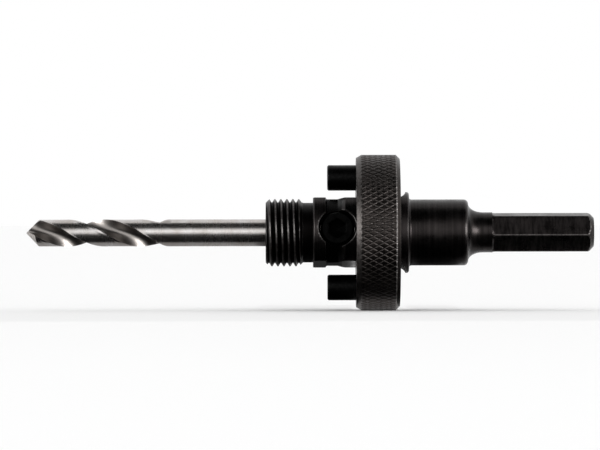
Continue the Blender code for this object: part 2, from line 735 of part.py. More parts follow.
def make_detent_spring(parts, axis, material):
    """A short coil between the ball and the plug."""
    wire = SPRING_WIRE / 2
    coil = BALL_DIAMETER / 2 - wire
    low = BALL_TOP + SPRING_END_GAP + wire
    high = PLUG_FOOT - SPRING_END_GAP - wire
    per_turn = 10
    count = max(3, round(per_turn * (high - low) / SPRING_PITCH)) + 1
    curve = bpy.data.curves.new("detent_spring", "CURVE")
    curve.dimensions = "3D"
    curve.bevel_depth = wire
    curve.bevel_resolution = 1
    curve.use_fill_caps = True
    spline = curve.splines.new("POLY")
    spline.points.add(count - 1)
    for i, point in enumerate(spline.points):
        angle = 2 * math.pi * i / per_turn
        height = low + (high - low) * i / (count - 1)
        point.co = (coil * math.cos(angle), coil * math.sin(angle), height, 1.0)
    wound = add_object("detent_spring_curve", curve, parts, axis)
    out_of_side(wound, DETENT_STATION, 1)
    bpy.context.view_layer.update()
    evaluated = wound.evaluated_get(bpy.context.evaluated_depsgraph_get())
    mesh = bpy.data.meshes.new_from_object(evaluated)
    bm = bmesh.new()
    bm.from_mesh(mesh)
    bmesh.ops.remove_doubles(bm, verts=bm.verts, dist=0.000001)
    bm.to_mesh(mesh)
    bm.free()
    mesh.name = "detent_spring"
    spring = add_object("detent_spring", mesh, parts, axis)
    out_of_side(spring, DETENT_STATION, 1)
    bpy.data.objects.remove(wound, do_unlink=True)
    return finish(spring, material)


def main():
    clear_scene()
    parts = new_collection("hole_saw_arbor")
    tools = new_collection("cutters")
    axis = bpy.data.objects.new("arbor_axis", None)
    axis.rotation_euler = (-ROLL, 0.0, 0.0)
    parts.objects.link(axis)

    black = steel("black_oxide_steel", (0.020, 0.019, 0.020), 0.38)
    pin_black = steel("black_pin_steel", (0.018, 0.018, 0.019), 0.45)
    knurled = steel("black_knurled_steel", (0.024, 0.023, 0.023), 0.48)
    bright = steel("bright_drill_steel", (0.47, 0.46, 0.46), 0.28)
    screw_black = steel("black_screw_steel", (0.016, 0.016, 0.017), 0.42)
    ball_steel = steel("ball_steel", (0.60, 0.60, 0.62), 0.12)
    spring_steel = steel("spring_steel", (0.30, 0.30, 0.31), 0.30)

    make_arbor_body(parts, tools, axis, black)
    make_pilot_drill(parts, tools, axis, bright)
    screw = (SCREW_DIAMETER, SCREW_FOOT, SCREW_FOOT + SCREW_LENGTH, SCREW_CHAMFER, SCREW_KEY,
             SCREW_KEY_DEPTH)
    socket_screw("pilot_set_screw", screw, parts, tools, axis, -1, SCREW_STATION, screw_black)
    make_drive_collar(parts, tools, axis, knurled)
    make_drive_pin("drive_pin_upper", parts, axis, 1, pin_black)
    make_drive_pin("drive_pin_lower", parts, axis, -1, pin_black)
    make_detent_ball(parts, axis, ball_steel)
    make_detent_spring(parts, axis, spring_steel)
    plug_key_depth = PLUG_KEY_SHARE * PLUG_LENGTH
    plug = (PLUG_DIAMETER, PLUG_FOOT, PLUG_TOP, PIN_CHAMFER, PLUG_KEY, plug_key_depth)
    socket_screw("detent_plug", plug, parts, tools, axis, 1, DETENT_STATION, screw_black)


main()
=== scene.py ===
from math import cos, pi, radians, sin, sqrt, tan, tau

import bpy
import numpy as np
from bpy.props import FloatProperty, FloatVectorProperty, IntProperty, PointerProperty
from bpy.types import NodeSocket, Operator, Panel, PropertyGroup, Scene
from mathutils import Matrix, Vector


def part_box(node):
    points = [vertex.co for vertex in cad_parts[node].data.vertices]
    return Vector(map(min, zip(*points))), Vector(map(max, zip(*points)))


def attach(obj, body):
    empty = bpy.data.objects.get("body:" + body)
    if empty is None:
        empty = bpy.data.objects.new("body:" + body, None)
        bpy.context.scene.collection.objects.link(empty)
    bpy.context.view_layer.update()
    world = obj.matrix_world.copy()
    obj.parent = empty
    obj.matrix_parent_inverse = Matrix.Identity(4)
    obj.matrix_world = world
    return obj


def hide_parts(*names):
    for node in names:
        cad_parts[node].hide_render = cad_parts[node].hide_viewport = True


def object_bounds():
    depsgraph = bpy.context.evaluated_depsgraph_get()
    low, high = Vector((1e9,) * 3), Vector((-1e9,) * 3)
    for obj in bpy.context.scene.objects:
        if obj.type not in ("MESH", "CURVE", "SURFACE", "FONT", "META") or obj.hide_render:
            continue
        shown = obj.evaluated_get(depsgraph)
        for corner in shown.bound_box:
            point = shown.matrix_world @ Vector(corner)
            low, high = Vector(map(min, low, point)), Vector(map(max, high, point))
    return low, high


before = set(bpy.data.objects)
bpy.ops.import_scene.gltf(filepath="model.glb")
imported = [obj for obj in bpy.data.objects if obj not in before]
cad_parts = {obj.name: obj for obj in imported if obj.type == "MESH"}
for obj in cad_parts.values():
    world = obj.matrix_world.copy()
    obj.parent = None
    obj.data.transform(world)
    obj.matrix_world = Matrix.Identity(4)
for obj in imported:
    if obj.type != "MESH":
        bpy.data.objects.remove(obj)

bl_info = {
    "name": "Hole saw arbor",
    "version": (1, 0, 0),
    "blender": (4, 5, 0),
    "location": "3D View > Sidebar > Arbor",
    "description": "Finished surfaces, steel finishes and a studio for a hole saw arbor",
    "category": "Object",
}

# Metres. A station is a place along X, the arbor's axis: the drill points to -X. A turn is an
# angle about the axis, 0 towards the camera at -Y and a quarter turn upwards.
CAD_BOX = [list(corner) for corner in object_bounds()]
MM = 0.001
ROLL = radians(8.2)
FLAT_TURN = pi / 2 + ROLL
HEX_TURN = radians(21.5)
THREAD_PITCH = 25.4 * MM / 18
SLACK = 1e-6

# Stations of the body, and of its collar and drill
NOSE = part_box("arbor_body")[0].x
THREAD_REAR = -68.3 * MM
SEAT = -65.9 * MM
GROOVE_FRONT = (-63.0 * MM, -62.7 * MM)
GROOVE_REAR = (-60.1 * MM, -58.4 * MM)
# Span of the barrel's groove that gets painted shade
SHADED_GROOVE = (-62.9 * MM, -59.0 * MM)
BORE_END = (-52.7 * MM, -50.8 * MM)
RIM_FRONT = -44.2 * MM
RIM_REAR = -43.4 * MM
SHANK_REAR = -29.5 * MM
HEX_FRONT = -23.9 * MM
SCREW_STATION = -60.2 * MM
COLLAR_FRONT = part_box("drive_collar")[0].x
COLLAR_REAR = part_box("drive_collar")[1].x
COLLAR_MIDDLE = (COLLAR_FRONT + COLLAR_REAR) / 2
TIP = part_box("pilot_drill")[0].x
DRILL_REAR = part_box("pilot_drill")[1].x

# Small forms and turns. The pair of a chamfer or a fillet is its length and height.
THREAD_CHAMFER = 0.9 * MM
BORE_CHAMFER = 0.4 * MM
BARREL_CHAMFER = 0.35 * MM
RELIEF_DEPTH = 0.07 * MM
GROOVE_DEPTH = 1.5 * MM
FLAT_RUNOUT = 2 * MM
SHANK_CORNER = 1.0 * MM
NECK_FILLET = (3.4 * MM, 2.1 * MM)
HEX_RUN_IN = 0.5 * MM
END_FACE = 3.4 * MM
SCREW_RADIUS = 4.0 * MM
COUNTERBORE = 4.4 * MM
FRONT_CHAMFER = (1.25 * MM, 0.7 * MM)
REAR_CHAMFER = (1.1 * MM, 0.9 * MM)
PIN_CIRCLE = 13.0 * MM
PIN_RADIUS = 3.0 * MM
PIN_TURNS = (("upper", FLAT_TURN), ("lower", FLAT_TURN + pi))
FLUTE_TURN = radians(38.8)
FLANK_START = radians(25.0)


def size(label, description, default):
    """A length that the panel shows, given here in millimetres."""
    return FloatProperty(name=label, description=description, default=default * MM, min=0.0,
                         precision=5, unit="LENGTH")


def angle(label, description, default):
    """An angle that the panel shows, in degrees."""
    return FloatProperty(name=label, description=description, default=radians(default),
                         subtype="ANGLE", unit="ROTATION")


def share(label, description, default, top=1.0):
    """A plain number from nothing to a top value."""
    return FloatProperty(name=label, description=description, default=default, min=0.0,
                         max=top, precision=3)


def colour(label, description, default):
    """A linear colour."""
    return FloatVectorProperty(name=label, description=description, default=default, size=3,
                               min=0.0, max=1.0, subtype="COLOR")


def watts(label, default):
    """The power of a lamp."""
    return FloatProperty(name=label, description="Power in watts", default=default, min=0.0,
                         precision=3)


class BodySettings(PropertyGroup):
    """Sizes and finish of the turned body."""

    barrel_radius: size("Barrel radius", "Radius of the barrel and of its rim", 9.5)
    barrel_flats: size("Barrel flats", "Distance between the two flats", 15.0)
    shank_radius: size("Shank radius", "Radius of the round shank", 7.75)
    neck_radius: size("Neck radius", "Radius of the neck before the hex", 4.72)
    hex_flats: size("Hex across flats", "Width of the hex shank", 8.5)
    hex_blunt: size("Hex blunting", "Height taken off the corners of the hex", 0.09)
    thread_radius: size("Thread radius", "Radius over the crests of the nose thread", 7.9375)
    thread_depth: size("Thread depth", "Height of the thread from root to crest", 0.8655)
    root_fillet: size("Root fillet", "Radius of the fillet behind the barrel's rim", 0.6)
    bore_radius: size("Bore radius", "Radius of the pilot drill's bore", 3.275)
    edge_ease: size("Edge ease", "Reach of the rounding along each turned edge", 0.09)
    oxide: colour("Oxide colour", "Colour of the blackened steel", (0.0180, 0.0158, 0.0155))
    roughness: share("Roughness", "Roughness of the blackened steel", 0.30)
    wear: share("Edge wear", "Share of bare steel along the edges", 0.30)


class CollarSettings(PropertyGroup):
    """Sizes and finish of the drive collar with its pins and detent."""

    radius: size("Collar radius", "Radius over the knurl", 18.25)
    knurl_depth: size("Knurl depth", "Depth of the knurl's grooves", 0.14)
    groove_share: share("Groove share", "Share of the pitch that the grooves take", 0.33)
    knurl_teeth: IntProperty(name="Knurl teeth", description="Diamonds once round the rim",
                             default=80, min=24, max=240)
    knurl_length: size("Knurl length", "Length of one diamond along the axis", 2.5)
    bore_radius: size("Bore radius", "Radius of the bore's round sides", 9.65)
    bore_flats: size("Bore flats", "Half the distance between the bore's flats", 7.65)
    oxide: colour("Oxide colour", "Colour of the knurled steel", (0.0245, 0.0208, 0.0193))
    roughness: share("Roughness", "Roughness of the knurled steel", 0.36)
    wear: share("Edge wear", "Share of bare steel along the edges", 0.80)
    pin_oxide: colour("Pin colour", "Colour of the drive pins", (0.005,) * 3)
    pin_roughness: share("Pin roughness", "Roughness of the drive pins", 0.42)


class DrillSettings(PropertyGroup):
    """Sizes and finish of the pilot drill."""

    radius: size("Drill radius", "Radius of the drill", 3.175)
    helix_lead: size("Helix lead", "Length of one full turn of the flutes", 34.3)
    flute_length: size("Flute length", "Length of the flutes from the tip", 34.4)
    flute_runout: size("Flute run-out", "Length over which a flute ends", 6.0)
    land_angle: angle("Land angle", "Width of one land", 87.0)
    web: size("Web", "Half the thickness of the web between the flutes", 0.5)
    point_angle: angle("Point angle", "Angle of the drill's point", 118.0)
    lip_relief: angle("Lip relief", "Fall of the point behind each lip", 12.0)
    margin_width: size("Margin width", "Width of the margin behind each lip", 0.55)
    clearance: size("Body clearance", "Depth of the land behind its margin", 0.03)
    steel: colour("Steel colour", "Colour of the ground steel", (0.58, 0.56, 0.55))
    roughness: share("Roughness", "Roughness of the ground steel", 0.27)


class StudioSettings(PropertyGroup):
    """Camera, floor and light."""

    lens: FloatProperty(name="Lens", description="Focal length in millimetres", default=295.0)
    distance: size("Camera distance", "Distance from the camera to the axis", 1155.4)
    aim: size("Aim", "Distance from the hex end to the middle of the view", 68.95)
    rise: size("Rise", "Height of the camera over the axis", 1.80)
    tilt: angle("Tilt", "Turn of the camera about its line of sight", 0.10)
    floor: colour("Floor colour", "Colour of the pale floor", (0.95,) * 3)
    ambient: share("Ambient", "Brightness of the even light on the floor", 1.02, 4.0)
    left_light: watts("Left light", 6.0)
    right_light: watts("Right light", 9.8)
    front_light: watts("Front strip", 0.045)


SETTINGS = {"arbor_body": BodySettings, "arbor_collar": CollarSettings,
            "arbor_drill": DrillSettings, "arbor_studio": StudioSettings}


# Shapes

def out_of_side(turn):
    """Unit direction out of the axis at one turn."""
    return np.array((0.0, -cos(turn), sin(turn)))


# Centre and direction of the two cross holes
SCREW_AXIS = ((SCREW_STATION, 0.0, 0.0), out_of_side(ROLL))
DETENT_AXIS = ((COLLAR_MIDDLE, 0.0, 0.0), out_of_side(ROLL + pi))


def placed(station, radius, turn):
    """Points on a polar surface about the axis: the station along X, with the turn measured
    from -Y upwards at that radius."""
    station, radius, turn = np.broadcast_arrays(station, radius, turn)
    return np.stack((station, -radius * np.cos(turn), radius * np.sin(turn)), axis=-1)


def once_round(columns):
    """Even turns once round the axis, as one row."""
    return np.linspace(0.0, tau, columns, endpoint=False)[None, :]


def beside(points, centre, direction):
    """The same points after a change of axis: what ran along X about the axis runs along a
    direction from a centre. The direction lies in the plane across X."""
    across = np.array((0.0, direction[2], -direction[1]))
    frame_of_tool = np.stack((direction, (1.0, 0.0, 0.0), across))
    return np.asarray(centre) + points @ frame_of_tool


def eased(corners, ease, steps=4):
    """A profile with rounded corners. Each inner corner becomes a short parabola, which
    leaves the line before it and joins the line after it at the same distance."""
    corners = np.asarray(corners, float)
    inner = corners[1:-1]
    before = corners[:-2] - inner
    after = corners[2:] - inner
    back = np.linalg.norm(before, axis=1)[:, None]
    ahead = np.linalg.norm(after, axis=1)[:, None]
    reach = np.minimum(ease, 0.45 * np.minimum(back, ahead))
    first = inner + before / back * reach
    last = inner + after / ahead * reach
    t = np.linspace(0.0, 1.0, steps + 1)[None, :, None]
    curves = (first[:, None] * (1 - t) ** 2 + inner[:, None] * (2 * t * (1 - t))
              + last[:, None] * t ** 2)
    return np.vstack((corners[:1], curves.reshape(-1, 2), corners[-1:]))


def divided(profile, longest):
    """The same profile with points added, so that no step along it is longer than asked."""
    profile = np.asarray(profile)
    steps = np.linalg.norm(np.diff(profile, axis=0), axis=1)
    counts = np.maximum(1, np.ceil(steps / longest)).astype(int)
    owner = np.repeat(np.arange(len(steps)), counts)
    place = (np.arange(len(owner)) - (np.cumsum(counts) - counts)[owner]) / counts[owner]
    inner = profile[owner] + (profile[owner + 1] - profile[owner]) * place[:, None]
    return np.vstack((inner, profile[-1:]))


def unit(vectors):
    """The directions of vectors, or nothing where a vector has no length."""
    return vectors / np.maximum(np.linalg.norm(vectors, axis=-1, keepdims=True), 1e-12)


def bends(grid, axis):
    """How far a grid of points bends outwards at each point, along its rows or columns: the
    change of its unit direction there, measured against the surface's own normal."""
    back = unit(grid - np.roll(grid, 1, axis))
    ahead = unit(np.roll(grid, -1, axis) - grid)
    along = np.roll(grid, -1, 0) - np.roll(grid, 1, 0)
    around = np.roll(grid, -1, 1) - np.roll(grid, 1, 1)
    return -np.sum((ahead - back) * unit(np.cross(along, around)), axis=-1)


def worn(grid):
    """Where handling rubs the finish off: full on edges that bend outwards sharply, none on
    even or hollow surfaces."""
    least_bend, rise = 0.12, 0.30
    edge = np.maximum(bends(grid, 0), bends(grid, 1))
    edge[[0, -1]] = 0.0
    return np.clip((edge - least_bend) / rise, 0.0, 1.0)


def added(name, data):
    """A new object in the scene."""
    piece = bpy.data.objects.new(name, data)
    bpy.context.scene.collection.objects.link(piece)
    return piece


def skin(name, grid, ring=False, wear=None, recess_shade=None, crease=30.0):
    """A closed mesh over a grid of points whose columns run round into each other. On a ring its
    rows do so as well. Otherwise the first and last rows each close in a pole. Its points carry two
    shares for the finish: the edge wear, and how deep they lie in recesses, which the finishes turn
    into painted shade."""
    rows, columns = grid.shape[:2]
    index = np.arange(rows * columns).reshape(rows, columns)
    here = index if ring else index[:-1]
    above = np.roll(index, -1, 0)[:len(here)]
    faces = np.stack((here, above, np.roll(above, -1, 1), np.roll(here, -1, 1)), -1)
    faces = faces.reshape(-1, 4).tolist()
    points = grid.reshape(-1, 3)
    shares = [np.zeros(len(points)) if part is None else part.ravel() for part in (wear, recess_shade)]
    if not ring:
        poles = np.full((2, columns), rows * columns) + np.array([[0], [1]])
        points = np.vstack((points, grid[0].mean(0), grid[-1].mean(0)))
        shares = [np.append(part, part[[0, -1]]) for part in shares]
        faces += np.stack((poles[0], index[0], np.roll(index[0], -1)), -1).tolist()
        faces += np.stack((index[-1], poles[1], np.roll(index[-1], -1)), -1).tolist()
    mesh = bpy.data.meshes.new(name)
    mesh.from_pydata(points.tolist(), [], faces)
    for label, part in zip(("edge_wear", "recess_shade"), shares):
        mesh.attributes.new(label, "FLOAT", "POINT").data.foreach_set("value", part)
    piece = added(name, mesh)
    shade(piece, crease)
    return piece


def shade(piece, crease):
    """Smooth shading that stops at edges sharper than the crease angle, in degrees."""
    mesh = piece.data
    mesh.polygons.foreach_set("use_smooth", np.ones(len(mesh.polygons), bool))
    mesh.set_sharp_from_angle(angle=radians(crease))
    mesh.update()


def trim(piece, tools, crease, operation="DIFFERENCE"):
    """Cuts a piece with closed tools, or keeps what lies in them, and drops the tools."""
    for tool in tools:
        modifier = piece.modifiers.new(tool.name, "BOOLEAN")
        modifier.operation = operation
        modifier.solver = "EXACT"
        modifier.object = tool
    depsgraph = bpy.context.evaluated_depsgraph_get()
    made = bpy.data.meshes.new_from_object(piece.evaluated_get(depsgraph))
    made.name = piece.name
    piece.modifiers.clear()
    piece.data = made
    for tool in tools:
        bpy.data.objects.remove(tool, do_unlink=True)
    shade(piece, crease)


def rub_rim(piece, centre, direction, radius, above):
    """Gives full edge wear to the points on the rounded rim of a cross hole and on its wall:
    those at or just past its radius from its axis, above a height."""
    mesh = piece.data
    points = np.empty(len(mesh.vertices) * 3)
    mesh.vertices.foreach_get("co", points)
    points = points.reshape(-1, 3) - centre
    height = points @ direction
    off = np.linalg.norm(points - height[:, None] * direction, axis=1)
    layer = mesh.attributes["edge_wear"].data
    wear = np.empty(len(points))
    layer.foreach_get("value", wear)
    wear[(off > radius - 0.02 * MM) & (off < radius + 0.2 * MM) & (height > above)] = 1.0
    layer.foreach_set("value", wear)


def lathed(profile, columns):
    """A profile of (station, radius) turned about the axis."""
    profile = np.asarray(profile, float)
    return placed(profile[:, :1], profile[:, 1:], once_round(columns))


def round_tool(name, profile, columns, centre, direction):
    """A closed round tool: a profile of (height, radius), from its foot up, turned about a
    direction through a centre."""
    return skin(name, beside(lathed(profile, columns), centre, direction))


def turned_along(name, profile, columns, centre):
    """A closed round piece along X: a profile of (station, radius) turned about a line that
    passes a centre, in the plane across X."""
    grid = lathed(profile, columns) + centre
    return skin(name, grid, wear=worn(grid))


def hexagon(turn, flats, facing):
    """Distance from the axis to a hexagon's side, at each turn: half its width over the
    cosine of the angle from the middle of the nearest side."""
    sixth = pi / 3
    return flats / 2 / np.cos((turn - facing + sixth / 2) % sixth - sixth / 2)


def double_flat(turn, half_width, facing):
    """Distance from the axis to the nearer of two parallel flats, at each turn."""
    return half_width / np.maximum(np.abs(np.cos(turn - facing)), 1e-6)


# Finishes

BARE_STEEL = (0.42, 0.40, 0.39)


def node(tree, kind, inputs=(), **settings):
    """A shader node with its settings, and its inputs by name or number: sockets are linked,
    and plain values are set."""
    made = tree.nodes.new("ShaderNode" + kind)
    for key, value in settings.items():
        setattr(made, key, value)
    for key, value in dict(inputs).items():
        if isinstance(value, NodeSocket):
            tree.links.new(value, made.inputs[key])
        else:
            made.inputs[key].default_value = value
    return made


class Finish:
    """A procedural material under construction. Patterns read Object coordinates."""

    def __init__(self, name, base, roughness, metallic=1.0):
        self.material = bpy.data.materials.new(name)
        self.material.use_nodes = True
        self.tree = self.material.node_tree
        self.shader = self.tree.nodes["Principled BSDF"]
        self.shader.inputs["Base Color"].default_value = (*base, 1.0)
        self.shader.inputs["Roughness"].default_value = roughness
        self.shader.inputs["Metallic"].default_value = metallic
        self.place = self.add("TexCoord").outputs["Object"]

    def add(self, kind, inputs=(), **settings):
        """A node of this material."""
        return node(self.tree, kind, inputs, **settings)

    def attribute(self, name):
        """One of the shares that the mesh carries."""
        return self.add("Attribute", attribute_name=name).outputs["Fac"]

    def noise(self, place, scale, detail=2.0, rough=0.5):
        """Fine noise with features of about one over the scale, in metres."""
        return self.add("TexNoise", {"Vector": place, "Scale": scale, "Detail": detail,
                                     "Roughness": rough}).outputs["Fac"]

    def ranged(self, value, old, new):
        """A value carried from one range to another, held at its ends."""
        return self.add("MapRange", {"Value": value, "From Min": old[0], "From Max": old[1],
                                     "To Min": new[0], "To Max": new[1]}).outputs[0]

    def maths(self, operation, first, second):
        """The result of one sum on two values, as sockets or as plain numbers."""
        return self.add("Math", {0: first, 1: second}, operation=operation).outputs[0]

    def turned(self):
        """Coordinates that follow a lathe: the station and the distance from the axis, so a
        pattern in them makes rings."""
        parts = self.add("SeparateXYZ", {0: self.place}).outputs
        flat = self.add("CombineXYZ", {1: parts[1], 2: parts[2]}).outputs[0]
        reach = self.add("VectorMath", {0: flat}, operation="LENGTH").outputs["Value"]
        return self.add("CombineXYZ", {0: parts[0], 1: reach}).outputs[0]

    def stretched(self, scale):
        """Object coordinates scaled along each axis, for marks that run one way."""
        return self.add("Mapping", {"Vector": self.place, "Scale": scale}).outputs[0]

    def blend(self, factor, first, second):
        """A colour mixed from two, as sockets or as plain colours."""
        first, second = ((*value, 1.0) if isinstance(value, tuple) else value
                         for value in (first, second))
        return self.add("Mix", {0: factor, 6: first, 7: second}, data_type="RGBA").outputs[2]

    def wear(self, amount):
        """The share of bare steel: the mesh's own edge wear, broken up by noise."""
        patchy = self.ranged(self.noise(self.place, 2200.0, 3.0), (0.35, 0.65), (0.35, 1.0))
        edge = self.maths("MULTIPLY", self.attribute("edge_wear"), patchy)
        return self.maths("MULTIPLY", edge, amount)

    def bump(self, height, distance, before=None):
        """Relief of a given depth in metres, over any relief made before."""
        inputs = {"Height": height, "Distance": distance, "Strength": 1.0}
        if before is not None:
            inputs["Normal"] = before
        return self.add("Bump", inputs).outputs["Normal"]

    def link(self, value, name):
        """Joins a socket to the shader's input of that name."""
        self.tree.links.new(value, self.shader.inputs[name])


def blackened(name, base, roughness, wear, drawn_from=None):
    """Blackened steel: rings from the lathe, fine grain, cloudy oxide, painted shade that darkens
    the recesses, and edges where the bare steel shows. Past a station it has drawn lines along the
    bar in place of the rings, and thin oxide in streaks across it."""
    finish = Finish(name, base, roughness)
    rings = finish.noise(finish.turned(), 3400.0, 3.0, 0.6)
    cloud = finish.noise(finish.place, 260.0, 4.0, 0.6)
    grain = finish.noise(finish.place, 9000.0)
    streaks = finish.noise(finish.turned(), 1300.0, 3.0, 0.7)
    thin = tuple(min(1.0, 2.5 * part) for part in base)
    # Painted shade: the oxide at 0.22 of its colour where the mesh lies in recesses
    shaded_oxide = tuple(0.22 * part for part in base)
    patches = finish.maths("ADD", finish.ranged(cloud, (0.35, 0.7), (0.0, 0.36)),
                           finish.ranged(streaks, (0.4, 0.65), (-0.15, 0.36)))
    if drawn_from is not None:
        station = finish.add("SeparateXYZ", {0: finish.place}).outputs[0]
        past = finish.maths("GREATER_THAN", station, drawn_from)
        lines = finish.noise(finish.stretched((40.0, 4200.0, 4200.0)), 1.0, 3.0, 0.6)
        apart = finish.maths("MULTIPLY", finish.maths("SUBTRACT", lines, rings), past)
        rings = finish.maths("ADD", rings, apart)
        across = finish.noise(finish.stretched((1500.0, 260.0, 260.0)), 1.0, 4.0, 0.65)
        mottle = finish.ranged(across, (0.40, 0.64), (-0.1, 1.0))
        patches = finish.maths("ADD", patches, finish.maths("MULTIPLY", mottle, past))
    oxide = finish.blend(patches, base, thin)
    recess_shade = finish.attribute("recess_shade")
    # Painted shade over the recesses
    oxide = finish.blend(recess_shade, oxide, shaded_oxide)
    bare = finish.wear(wear)
    finish.link(finish.blend(bare, oxide, BARE_STEEL), "Base Color")
    uneven = finish.ranged(cloud, (0.3, 0.7), (roughness - 0.05, roughness + 0.08))
    uneven = finish.maths("ADD", uneven, finish.maths("MULTIPLY", recess_shade, 0.15))
    uneven = finish.maths("ADD", uneven, finish.maths("MULTIPLY", bare, 0.4))
    finish.link(finish.maths("ADD", uneven, finish.ranged(rings, (0.3, 0.7), (-0.03, 0.03))),
                "Roughness")
    relief = finish.bump(rings, 2.0e-6)
    finish.link(finish.bump(grain, 1.2e-6, relief), "Normal")
    return finish.material


def ground(name, base, roughness):
    """Ground tool steel: fine rings from the wheel and a faint warm cloud, rougher in its recesses,
    where painted shade darkens it."""
    finish = Finish(name, base, roughness)
    rings = finish.noise(finish.turned(), 6000.0, 3.0, 0.65)
    cloud = finish.noise(finish.place, 300.0, 3.0)
    warm = (base[0] * 0.80, base[1] * 0.77, base[2] * 0.74)
    # Painted shade for the flutes and other recesses
    shaded_steel = tuple(0.62 * part for part in warm)
    recess_shade = finish.attribute("recess_shade")
    surface = finish.blend(finish.ranged(cloud, (0.35, 0.65), (0.0, 1.0)), base, warm)
    finish.link(finish.blend(recess_shade, surface, shaded_steel), "Base Color")
    bands = finish.noise(finish.turned(), 700.0)
    bands = finish.ranged(bands, (0.3, 0.7), (roughness - 0.005, roughness + 0.008))
    uneven = finish.maths("ADD", bands, finish.ranged(rings, (0.3, 0.7), (-0.001, 0.001)))
    finish.link(finish.maths("ADD", uneven, finish.maths("MULTIPLY", recess_shade, 0.06)), "Roughness")
    finish.link(finish.bump(rings, 1e-8), "Normal")
    return finish.material


def dress(piece, material, body, nodes):
    """Gives a piece its finish in a material slot of its own, hides the CAD nodes that it stands
    for, and parents it to the body that it rides on."""
    piece.data.materials.clear()
    piece.data.materials.append(material)
    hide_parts(*nodes)
    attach(piece, body)


# Pieces

def fillet(station, radius, length, height):
    """A quarter of an ellipse from a wall at a station down to a radius, as (station, radius).
    A length and height below nothing round a corner instead, from end to start."""
    quarter = np.linspace(0.0, pi / 2, 9)[:, None]
    return np.hstack((station + length * (1 - np.cos(quarter)),
                      radius + height * (1 - np.sin(quarter))))


def body_profile(s):
    """The body's profile as (station, radius), from the blind end of the bore, out through
    the nose and back along the outside to the hex's end. The corners of the hex bar are there
    twice, which keeps them sharp and free of wear."""
    bore = [(BORE_END[1], 0.0), (BORE_END[0], s.bore_radius), (NOSE + BORE_CHAMFER, s.bore_radius),
            (NOSE, s.bore_radius + BORE_CHAMFER), (NOSE, s.thread_radius - THREAD_CHAMFER)]
    chamfer = BARREL_CHAMFER
    r = s.barrel_radius
    relief = s.thread_radius - s.thread_depth - RELIEF_DEPTH
    barrel = [(THREAD_REAR, relief), (SEAT, relief), (SEAT, r - chamfer), (SEAT + chamfer, r),
              (GROOVE_FRONT[0], r), (GROOVE_FRONT[1], r - GROOVE_DEPTH),
              (GROOVE_REAR[0], r - GROOVE_DEPTH), (GROOVE_REAR[1], r),
              (RIM_FRONT - FLAT_RUNOUT, r), (RIM_REAR - chamfer, r),
              (RIM_REAR, r - chamfer), (RIM_REAR, s.shank_radius + s.root_fillet)]
    root = fillet(RIM_REAR, s.shank_radius, s.root_fillet, s.root_fillet)
    corner = fillet(SHANK_REAR, s.shank_radius, -SHANK_CORNER, -SHANK_CORNER)[::-1]
    neck = fillet(SHANK_REAR, s.neck_radius, *NECK_FILLET)
    past_corner = s.hex_flats / 2 * 1.25
    end_slope = 0.93
    hex_bar = [(HEX_FRONT, s.neck_radius), (HEX_FRONT, past_corner),
               (-(past_corner - END_FACE) * end_slope, past_corner),
               (0.0, END_FACE), (0.0, 0.0)]
    thread = [(NOSE, s.thread_radius - THREAD_CHAMFER), (THREAD_REAR, s.thread_radius)]
    return (eased(bore, s.edge_ease), divided(thread, 0.08 * MM)[1:],
            eased(barrel, s.edge_ease), root[1:], corner, neck[1:], eased(hex_bar, 0.0, 1))


def body_turns(station, radius, half_flats, outside):
    """Turns of the body's columns, row by row. Four spans of columns meet where a flat
    meets the round, so each edge runs along a column, and hex corners lie on columns too."""
    flat_columns, round_columns = 24, 96
    even = radians(18.0)
    least = radians(0.6)
    seat_edge = radians(34.9)
    to_hex_corners = radians(-0.2)
    edge = np.arccos(np.clip(half_flats / np.maximum(radius, half_flats), 0.0, 1.0))
    width = np.where(station < SEAT, np.interp(station, (THREAD_REAR, SEAT), (even, seat_edge)),
                     np.where(station < RIM_FRONT, np.maximum(edge, least),
                              np.interp(station, (RIM_REAR, SHANK_REAR), (least, even))))
    width = np.where(outside, width, even)[:, None]
    flat_span = np.arange(flat_columns) / flat_columns
    round_span = np.arange(round_columns) / round_columns
    turns = np.hstack((-width + 2 * width * flat_span, width + (pi - 2 * width) * round_span))
    turns = np.hstack((turns, turns + pi))
    shift = np.interp(station, (SHANK_REAR, HEX_FRONT), (0.0, to_hex_corners))
    return FLAT_TURN + turns + np.where(outside, shift, 0.0)[:, None]


def thread_reach(s, station, turn):
    """Radius of the thread: it falls off the crest line at the slope of a 60 degree thread,
    down to the root, with the crest and root rounded by soft limits. The crest line winds
    round right-handed, and each end is turned to a 45 degree chamfer."""
    start = NOSE - 1.41 * MM
    half_crest = 0.13 * MM
    soft = 0.080 * MM
    lead = (station - start) / THREAD_PITCH + (turn - ROLL + pi / 2) / tau
    off = np.abs((lead + 0.5) % 1.0 - 0.5) * THREAD_PITCH
    sharp = s.thread_radius + (half_crest - off) * sqrt(3)
    crest = -soft * np.logaddexp(-sharp / soft, -s.thread_radius / soft)
    root = s.thread_radius - s.thread_depth
    reach = soft * np.logaddexp(crest / soft, root / soft)
    ends = np.minimum(station - NOSE, THREAD_REAR - station)
    return np.minimum(reach, s.thread_radius - THREAD_CHAMFER + np.maximum(ends, 0.0))


